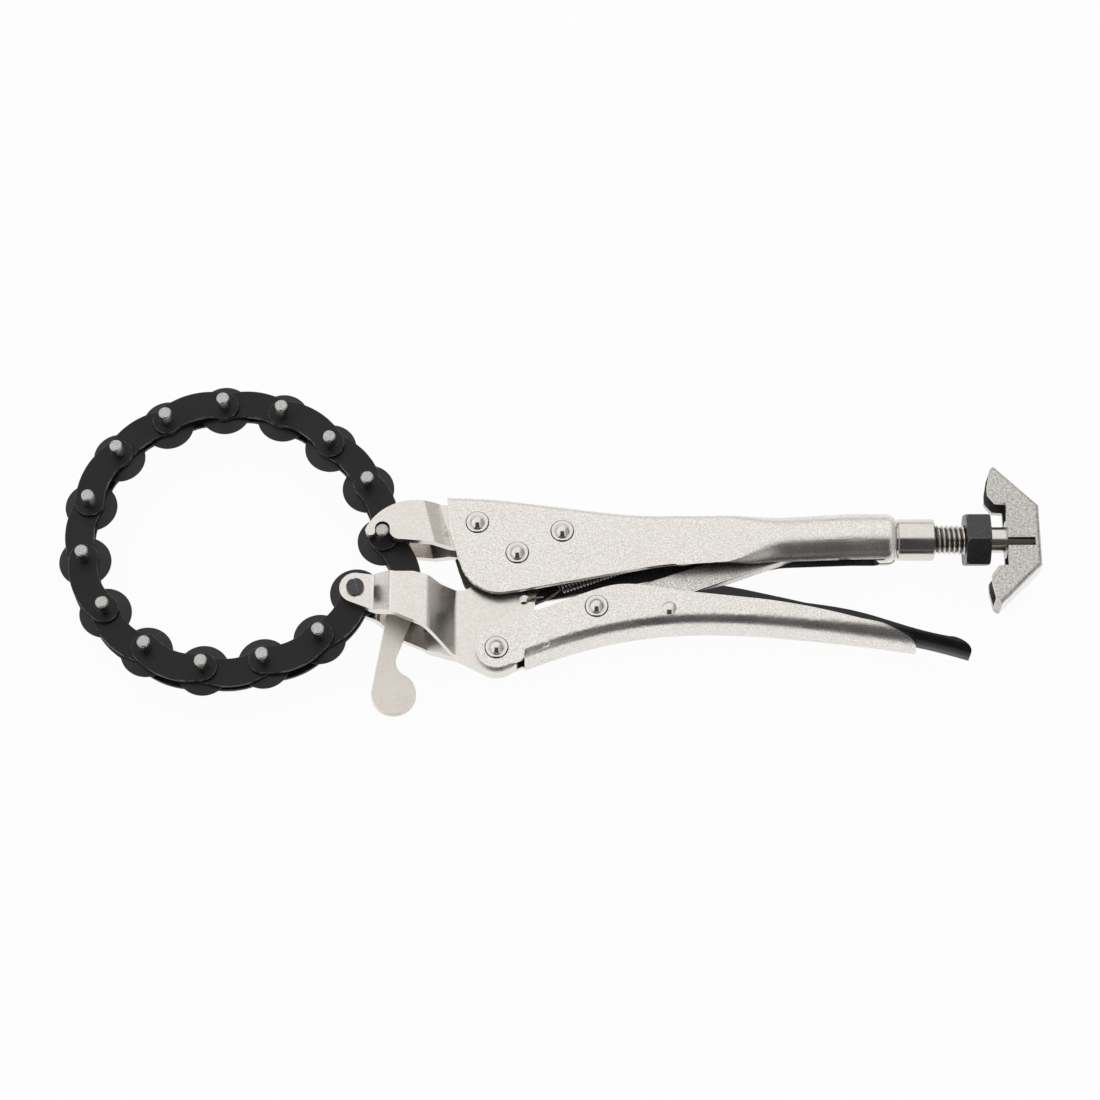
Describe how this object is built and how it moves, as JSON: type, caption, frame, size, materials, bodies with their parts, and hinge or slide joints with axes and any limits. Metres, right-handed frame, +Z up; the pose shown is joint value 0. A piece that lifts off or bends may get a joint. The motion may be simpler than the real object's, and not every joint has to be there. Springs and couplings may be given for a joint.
{
  "type": "chain pipe cutter",
  "caption": "Locking-plier chain pipe cutter: a chain of thin cutting wheels closes on a pipe from two jaws, tightened by handles and a wing screw.",
  "frame": {"origin": "centre of the lower jaw's bowed face that the tool lies on", "axes": "+X along the handles to the wing screw, +Y to the upper handle, +Z up out of the face that the tool lies on"},
  "size_m": [0.3117, 0.1133, 0.0253],
  "materials": {
    "chain_black": "matte black oxide",
    "handle_nickel": "satin nickel plate with fine grain",
    "jaw_nickel": "satin nickel plate with bright sheared edges",
    "lever_black": "satin black",
    "link_nickel": "satin nickel plate",
    "nut_black": "black oxide",
    "pin_steel": "turned steel",
    "rivet_nickel": "bright nickel plate",
    "screw_black": "black oxide",
    "screw_nickel": "bright nickel plate",
    "spring_steel": "plated spring wire",
    "tab_nickel": "matte nickel plate",
    "wheel_black": "black oxide with a ground edge",
    "wing_nickel": "tumbled nickel plate"
  },
  "bodies": {
    "upper_handle_assembly": {"upper_handle": "handle_nickel", "screw_bush": "screw_nickel", "upper_jaw_near_plate": "jaw_nickel", "upper_jaw_far_plate": "jaw_nickel", "upper_jaw_rivets": "rivet_nickel", "jaw_pivot_rivet": "rivet_nickel", "spring_anchor": "rivet_nickel", "tension_spring": "spring_steel"},
    "lower_jaw": {"lower_jaw_near_plate": "jaw_nickel", "lower_jaw_far_plate": "jaw_nickel", "chain_anchor_screw": "screw_black", "chain_anchor_nut": "screw_black"},
    "lower_handle_assembly": {"lower_handle": "handle_nickel", "handle_pivot_rivet": "rivet_nickel", "toggle_pivot_rivet": "rivet_nickel", "lever_rivet": "rivet_nickel"},
    "toggle": {"toggle_link": "link_nickel"},
    "release": {"release_lever": "lever_black"},
    "nut": {"lock_nut": "nut_black"},
    "wing_screw": {"adjusting_screw": "screw_nickel", "wing_handle": "wing_nickel"},
    "link_01": {"inner_link_01": "chain_black"},
    "link_02": {"outer_link_02": "chain_black", "link_pins_02": "pin_steel"},
    "link_03": {"inner_link_03": "chain_black"},
    "link_04": {"outer_link_04": "chain_black", "link_pins_04": "pin_steel"},
    "link_05": {"inner_link_05": "chain_black"},
    "link_06": {"outer_link_06": "chain_black", "link_pins_06": "pin_steel"},
    "link_07": {"inner_link_07": "chain_black"},
    "link_08": {"outer_link_08": "chain_black", "link_pins_08": "pin_steel"},
    "link_09": {"inner_link_09": "chain_black"},
    "link_10": {"outer_link_10": "chain_black", "link_pins_10": "pin_steel"},
    "link_11": {"inner_link_11": "chain_black"},
    "link_12": {"outer_link_12": "chain_black", "link_pins_12": "pin_steel"},
    "link_13": {"inner_link_13": "chain_black"},
    "link_14": {"outer_link_14": "chain_black", "link_pins_14": "pin_steel"},
    "link_15": {"inner_link_15": "chain_black", "tail_rivet": "pin_steel"},
    "tab": {"pull_tab": "tab_nickel"},
    "wheel_00": {"cutting_wheel_00": "wheel_black"},
    "wheel_01": {"cutting_wheel_01": "wheel_black"},
    "wheel_02": {"cutting_wheel_02": "wheel_black"},
    "wheel_03": {"cutting_wheel_03": "wheel_black"},
    "wheel_04": {"cutting_wheel_04": "wheel_black"},
    "wheel_05": {"cutting_wheel_05": "wheel_black"},
    "wheel_06": {"cutting_wheel_06": "wheel_black"},
    "wheel_07": {"cutting_wheel_07": "wheel_black"},
    "wheel_08": {"cutting_wheel_08": "wheel_black"},
    "wheel_09": {"cutting_wheel_09": "wheel_black"},
    "wheel_10": {"cutting_wheel_10": "wheel_black"},
    "wheel_11": {"cutting_wheel_11": "wheel_black"},
    "wheel_12": {"cutting_wheel_12": "wheel_black"},
    "wheel_13": {"cutting_wheel_13": "wheel_black"},
    "wheel_14": {"cutting_wheel_14": "wheel_black"}
  },
  "joints": [
    {"name": "lower_jaw_swing", "type": "hinge", "parent": "upper_handle_assembly", "child": "lower_jaw", "pos_m": [0.0336, 0.0166, 0.01265], "axis": [0, 0, 1], "range_deg": [-0.2, 6]},
    {"name": "handle_swing", "type": "hinge", "parent": "lower_jaw", "child": "lower_handle_assembly", "pos_m": [0.0272, -0.0144, 0.01265], "axis": [0, 0, 1], "range_deg": [-28, 0]},
    {"name": "toggle_swing", "type": "hinge", "parent": "lower_handle_assembly", "child": "toggle", "pos_m": [0.0585, -0.0016, 0.01265], "axis": [0, 0, 1], "range_deg": [-0.2, 34.5]},
    {"name": "release_lever_swing", "type": "hinge", "parent": "lower_handle_assembly", "child": "release", "pos_m": [0.0813, -0.0022, 0.01265], "axis": [0, 0, 1], "range_deg": [0, 3]},
    {"name": "screw_travel", "type": "slide", "parent": "upper_handle_assembly", "child": "nut", "axis": [1, 0, 0], "range_m": [0, 0.012]},
    {"name": "screw_turn", "type": "hinge", "parent": "nut", "child": "wing_screw", "pos_m": [0.1836, 0.024, 0.01265], "axis": [1, 0, 0], "range_deg": [0, 2720]},
    {"name": "chain_bend_01", "type": "hinge", "parent": "lower_jaw", "child": "link_01", "pos_m": [-0.0174, 0.0055, 0.01265], "axis": [0, 0, 1], "range_deg": [-2.29, 0.2]},
    {"name": "chain_bend_02", "type": "hinge", "parent": "link_01", "child": "link_02", "pos_m": [-0.02846, -0.01001, 0.01265], "axis": [0, 0, 1], "range_deg": [-1.94, 0.2]},
    {"name": "chain_bend_03", "type": "hinge", "parent": "link_02", "child": "link_03", "pos_m": [-0.04566, -0.01821, 0.01265], "axis": [0, 0, 1], "range_deg": [-1.26, 0.2]},
    {"name": "chain_bend_04", "type": "hinge", "parent": "link_03", "child": "link_04", "pos_m": [-0.06456, -0.02053, 0.01265], "axis": [0, 0, 1], "range_deg": [-0.88, 0.2]},
    {"name": "chain_bend_05", "type": "hinge", "parent": "link_04", "child": "link_05", "pos_m": [-0.08258, -0.01433, 0.01265], "axis": [0, 0, 1], "range_deg": [-0.2, 0.91]},
    {"name": "chain_bend_06", "type": "hinge", "parent": "link_05", "child": "link_06", "pos_m": [-0.09628, -0.0011, 0.01265], "axis": [0, 0, 1], "range_deg": [-0.2, 1.42]},
    {"name": "chain_bend_07", "type": "hinge", "parent": "link_06", "child": "link_07", "pos_m": [-0.10372, 0.01644, 0.01265], "axis": [0, 0, 1], "range_deg": [-0.2, 1.52]},
    {"name": "chain_bend_08", "type": "hinge", "parent": "link_07", "child": "link_08", "pos_m": [-0.10289, 0.03547, 0.01265], "axis": [0, 0, 1], "range_deg": [-0.2, 1.31]},
    {"name": "chain_bend_09", "type": "hinge", "parent": "link_08", "child": "link_09", "pos_m": [-0.09484, 0.05274, 0.01265], "axis": [0, 0, 1], "range_deg": [-0.2, 1.4]},
    {"name": "chain_bend_10", "type": "hinge", "parent": "link_09", "child": "link_10", "pos_m": [-0.07973, 0.06433, 0.01265], "axis": [0, 0, 1], "range_deg": [-0.82, 0.2]},
    {"name": "chain_bend_11", "type": "hinge", "parent": "link_10", "child": "link_11", "pos_m": [-0.06142, 0.06958, 0.01265], "axis": [0, 0, 1], "range_deg": [-0.82, 0.2]},
    {"name": "chain_bend_12", "type": "hinge", "parent": "link_11", "child": "link_12", "pos_m": [-0.04255, 0.06693, 0.01265], "axis": [0, 0, 1], "range_deg": [-0.82, 0.2]},
    {"name": "chain_bend_13", "type": "hinge", "parent": "link_12", "child": "link_13", "pos_m": [-0.02685, 0.05614, 0.01265], "axis": [0, 0, 1], "range_deg": [-0.82, 0.2]},
    {"name": "chain_bend_14", "type": "hinge", "parent": "link_13", "child": "link_14", "pos_m": [-0.01435, 0.04177, 0.01265], "axis": [0, 0, 1], "range_deg": [-0.82, 0.2]},
    {"name": "chain_tail_swing", "type": "hinge", "parent": "link_14", "child": "link_15", "pos_m": [-0.0091, 0.02345, 0.01265], "axis": [0, 0, 1], "range_deg": [-1, 10]},
    {"name": "pull_tab_swing", "type": "hinge", "parent": "link_15", "child": "tab", "pos_m": [-0.00136, 0.00605, 0.01265], "axis": [0, 0, 1], "range_deg": [-1.5, 10]},
    {"name": "wheel_spin_00", "type": "hinge", "parent": "lower_jaw", "child": "wheel_00", "pos_m": [-0.0174, 0.0055, 0.01265], "axis": [0, 0, 1], "continuous": true},
    {"name": "wheel_spin_01", "type": "hinge", "parent": "link_02", "child": "wheel_01", "pos_m": [-0.02846, -0.01001, 0.01265], "axis": [0, 0, 1], "continuous": true},
    {"name": "wheel_spin_02", "type": "hinge", "parent": "link_02", "child": "wheel_02", "pos_m": [-0.04566, -0.01821, 0.01265], "axis": [0, 0, 1], "continuous": true},
    {"name": "wheel_spin_03", "type": "hinge", "parent": "link_04", "child": "wheel_03", "pos_m": [-0.06456, -0.02053, 0.01265], "axis": [0, 0, 1], "continuous": true},
    {"name": "wheel_spin_04", "type": "hinge", "parent": "link_04", "child": "wheel_04", "pos_m": [-0.08258, -0.01433, 0.01265], "axis": [0, 0, 1], "continuous": true},
    {"name": "wheel_spin_05", "type": "hinge", "parent": "link_06", "child": "wheel_05", "pos_m": [-0.09628, -0.0011, 0.01265], "axis": [0, 0, 1], "continuous": true},
    {"name": "wheel_spin_06", "type": "hinge", "parent": "link_06", "child": "wheel_06", "pos_m": [-0.10372, 0.01644, 0.01265], "axis": [0, 0, 1], "continuous": true},
    {"name": "wheel_spin_07", "type": "hinge", "parent": "link_08", "child": "wheel_07", "pos_m": [-0.10289, 0.03547, 0.01265], "axis": [0, 0, 1], "continuous": true},
    {"name": "wheel_spin_08", "type": "hinge", "parent": "link_08", "child": "wheel_08", "pos_m": [-0.09484, 0.05274, 0.01265], "axis": [0, 0, 1], "continuous": true},
    {"name": "wheel_spin_09", "type": "hinge", "parent": "link_10", "child": "wheel_09", "pos_m": [-0.07973, 0.06433, 0.01265], "axis": [0, 0, 1], "continuous": true},
    {"name": "wheel_spin_10", "type": "hinge", "parent": "link_10", "child": "wheel_10", "pos_m": [-0.06142, 0.06958, 0.01265], "axis": [0, 0, 1], "continuous": true},
    {"name": "wheel_spin_11", "type": "hinge", "parent": "link_12", "child": "wheel_11", "pos_m": [-0.04255, 0.06693, 0.01265], "axis": [0, 0, 1], "continuous": true},
    {"name": "wheel_spin_12", "type": "hinge", "parent": "link_12", "child": "wheel_12", "pos_m": [-0.02685, 0.05614, 0.01265], "axis": [0, 0, 1], "continuous": true},
    {"name": "wheel_spin_13", "type": "hinge", "parent": "link_14", "child": "wheel_13", "pos_m": [-0.01435, 0.04177, 0.01265], "axis": [0, 0, 1], "continuous": true},
    {"name": "wheel_spin_14", "type": "hinge", "parent": "link_14", "child": "wheel_14", "pos_m": [-0.0091, 0.02345, 0.01265], "axis": [0, 0, 1], "continuous": true}
  ],
  "couplings": [
    {"joint": "lower_jaw_swing", "follows": "handle_swing", "ratio": -0.21},
    {"joint": "toggle_swing", "follows": "handle_swing", "ratio": -1.225},
    {"joint": "screw_travel", "follows": "screw_turn", "m_per_rad": 0.00025266},
    {"joint": "chain_bend_01", "follows": "handle_swing", "ratio": 0.0746},
    {"joint": "chain_bend_02", "follows": "handle_swing", "ratio": 0.0623},
    {"joint": "chain_bend_03", "follows": "handle_swing", "ratio": 0.0378},
    {"joint": "chain_bend_04", "follows": "handle_swing", "ratio": 0.0243},
    {"joint": "chain_bend_05", "follows": "handle_swing", "ratio": -0.0255},
    {"joint": "chain_bend_06", "follows": "handle_swing", "ratio": -0.0437},
    {"joint": "chain_bend_07", "follows": "handle_swing", "ratio": -0.047},
    {"joint": "chain_bend_08", "follows": "handle_swing", "ratio": -0.0395},
    {"joint": "chain_bend_09", "follows": "handle_swing", "ratio": -0.0427},
    {"joint": "chain_bend_10", "follows": "handle_swing", "ratio": 0.022},
    {"joint": "chain_bend_11", "follows": "handle_swing", "ratio": 0.022},
    {"joint": "chain_bend_12", "follows": "handle_swing", "ratio": 0.022},
    {"joint": "chain_bend_13", "follows": "handle_swing", "ratio": 0.022},
    {"joint": "chain_bend_14", "follows": "handle_swing", "ratio": 0.022}
  ]
}
